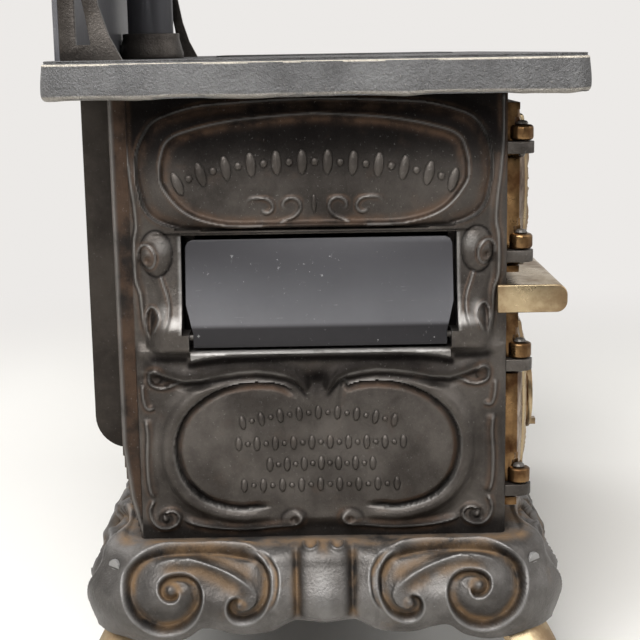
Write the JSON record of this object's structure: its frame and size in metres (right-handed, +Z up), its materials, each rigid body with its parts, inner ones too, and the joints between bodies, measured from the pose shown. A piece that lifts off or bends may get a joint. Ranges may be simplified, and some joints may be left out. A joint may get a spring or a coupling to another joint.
{
  "type": "toy cooking range",
  "caption": "Cast iron toy cooking range on cabriole legs, with swinging doors, a fuel hopper flap, lift-off lids, a high shelf and a stovepipe.",
  "frame": {"origin": "on the floor below the middle of the stove", "axes": "+Z up, doors face -Y, the fire end with the hopper faces -X"},
  "size_m": [0.4722, 0.2422, 0.575],
  "materials": {
    "cast_iron": "blackened cast iron with brown rust in the hollows and worn grey edges",
    "worn_iron": "grainy cast iron, worn grey",
    "nickel": "old nickel plating on iron, warm and stained brown",
    "sheet_steel": "plain rolled sheet steel, dull blue grey with scratches",
    "dark_steel": "dark oxidised steel"
  },
  "bodies": {
    "stove": {"base_frame": "cast_iron", "bottom_plate": "cast_iron", "end_panel_fire": "cast_iron", "end_panel_oven": "cast_iron", "front_frame": "cast_iron", "back_plate": "cast_iron", "fire_box": "cast_iron", "grate": "cast_iron", "pipe_collar": "cast_iron", "shelf_bracket_left": "cast_iron", "shelf_bracket_right": "cast_iron", "cooktop": "worn_iron", "high_shelf": "worn_iron", "leg_front_left": "nickel", "leg_front_right": "nickel", "leg_rear_left": "nickel", "leg_rear_right": "nickel", "leg_bolt_front_left": "nickel", "leg_bolt_front_right": "nickel", "leg_bolt_rear_left": "nickel", "leg_bolt_rear_right": "nickel", "front_shelf": "nickel", "oven_box": "sheet_steel", "stovepipe": "sheet_steel", "splash_back": "sheet_steel", "feed_flap_rod": "dark_steel", "flue_casing": "dark_steel", "fire_door_pin_lower": "dark_steel", "fire_door_pin_upper": "dark_steel", "ash_door_pin_lower": "dark_steel", "ash_door_pin_upper": "dark_steel", "oven_door_pin_lower": "dark_steel", "oven_door_pin_upper": "dark_steel", "tie_rod_front_left": "dark_steel", "tie_rod_front_right": "dark_steel", "tie_rod_rear_left": "dark_steel", "tie_rod_rear_right": "dark_steel"},
    "feed_flap": {"feed_flap": "sheet_steel"},
    "fire_door": {"fire_door": "nickel"},
    "ash_door": {"ash_door": "nickel", "draft_rivet": "dark_steel"},
    "oven_door": {"oven_door": "nickel"},
    "fire_door_knob": {"fire_door_knob": "nickel"},
    "ash_door_knob": {"ash_door_knob": "nickel"},
    "oven_door_knob": {"oven_door_knob": "nickel"},
    "draft_disc": {"draft_disc": "nickel"},
    "lid_fire_front": {"lid_fire_front": "cast_iron"},
    "lid_fire_rear": {"lid_fire_rear": "cast_iron"},
    "lid_oven_front": {"lid_oven_front": "cast_iron"},
    "lid_oven_rear": {"lid_oven_rear": "cast_iron"},
    "centre_piece_fire": {"centre_piece_fire": "cast_iron"},
    "centre_piece_oven": {"centre_piece_oven": "cast_iron"},
    "pipe_damper": {"pipe_damper": "dark_steel"}
  },
  "joints": [
    {"name": "feed_flap_tilt", "type": "hinge", "parent": "stove", "child": "feed_flap", "pos_m": [-0.205, 0, 0.1875], "axis": [0, -1, 0], "range_deg": [0, 35]},
    {"name": "fire_door_swing", "type": "hinge", "parent": "stove", "child": "fire_door", "pos_m": [-0.193, -0.0912, 0.251], "axis": [0, 0, -1], "range_deg": [0, 105]},
    {"name": "ash_door_swing", "type": "hinge", "parent": "stove", "child": "ash_door", "pos_m": [-0.193, -0.0912, 0.1485], "axis": [0, 0, -1], "range_deg": [0, 105]},
    {"name": "oven_door_swing", "type": "hinge", "parent": "stove", "child": "oven_door", "pos_m": [0.146, -0.0912, 0.1895], "axis": [0, 0, 1], "range_deg": [0, 105]},
    {"name": "fire_door_latch", "type": "hinge", "parent": "fire_door", "child": "fire_door_knob", "pos_m": [-0.106, -0.09, 0.251], "axis": [0, -1, 0], "range_deg": [0, 90]},
    {"name": "ash_door_latch", "type": "hinge", "parent": "ash_door", "child": "ash_door_knob", "pos_m": [-0.106, -0.09, 0.1485], "axis": [0, -1, 0], "range_deg": [0, 90]},
    {"name": "oven_door_latch", "type": "hinge", "parent": "oven_door", "child": "oven_door_knob", "pos_m": [-0.046, -0.09, 0.1895], "axis": [0, 1, 0], "range_deg": [0, 90]},
    {"name": "draft_turn", "type": "hinge", "parent": "ash_door", "child": "draft_disc", "pos_m": [-0.1495, -0.1, 0.1485], "axis": [0, 1, 0], "range_deg": [0, 36]},
    {"name": "damper_turn", "type": "hinge", "parent": "stove", "child": "pipe_damper", "pos_m": [0, 0.094, 0.352], "axis": [1, 0, 0], "range_deg": [0, 90]},
    {"name": "lid_fire_front_lift", "type": "slide", "parent": "stove", "child": "lid_fire_front", "axis": [0, 0, 1], "range_m": [0, 0.06]},
    {"name": "lid_fire_rear_lift", "type": "slide", "parent": "stove", "child": "lid_fire_rear", "axis": [0, 0, 1], "range_m": [0, 0.06]},
    {"name": "lid_oven_front_lift", "type": "slide", "parent": "stove", "child": "lid_oven_front", "axis": [0, 0, 1], "range_m": [0, 0.06]},
    {"name": "lid_oven_rear_lift", "type": "slide", "parent": "stove", "child": "lid_oven_rear", "axis": [0, 0, 1], "range_m": [0, 0.06]},
    {"name": "centre_piece_fire_lift", "type": "slide", "parent": "stove", "child": "centre_piece_fire", "axis": [0, 0, 1], "range_m": [0, 0.06]},
    {"name": "centre_piece_oven_lift", "type": "slide", "parent": "stove", "child": "centre_piece_oven", "axis": [0, 0, 1], "range_m": [0, 0.06]}
  ]
}
